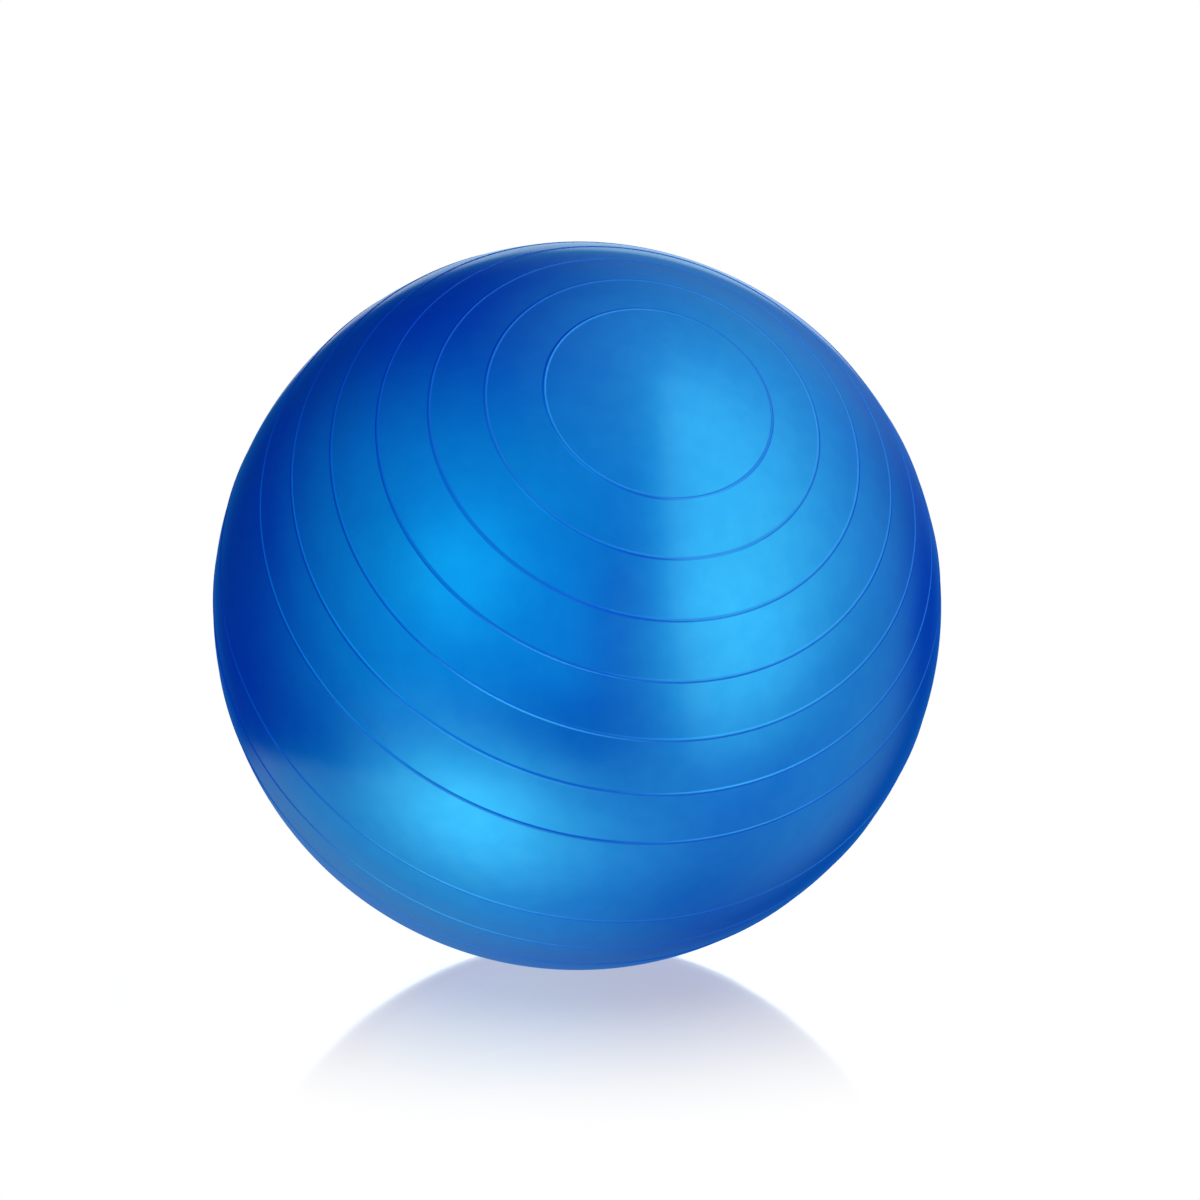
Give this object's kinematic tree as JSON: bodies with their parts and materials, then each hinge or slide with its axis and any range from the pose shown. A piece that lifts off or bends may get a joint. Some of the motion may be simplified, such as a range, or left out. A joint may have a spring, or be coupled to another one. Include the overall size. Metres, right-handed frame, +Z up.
{
  "type": "exercise ball",
  "caption": "Large inflatable exercise ball in blue PVC with raised concentric grip ribs, a fused valve seat and a push-in stopper.",
  "frame": {"origin": "centre of the flat patch that the ball rests on, level with the floor", "axes": "+Z straight up through the ball's centre; the rib axis leans 56 degrees from +Z, and its open end points between -Y and +X, 14 degrees from -Y; the valve is at the other end of that axis"},
  "size_m": [0.6511, 0.6505, 0.649],
  "materials": {
    "pvc_skin": "satin pearl",
    "pvc_seat": "satin",
    "plug_plastic": "matte"
  },
  "bodies": {
    "ball": {"ball_shell": "pvc_skin", "valve_seat": "pvc_seat"},
    "plug": {"valve_plug": "plug_plastic"}
  },
  "joints": [
    {"name": "plug_pull", "type": "slide", "parent": "ball", "child": "plug", "axis": [-0.2006, 0.8044, -0.5592], "range_m": [0, 0.03]}
  ]
}
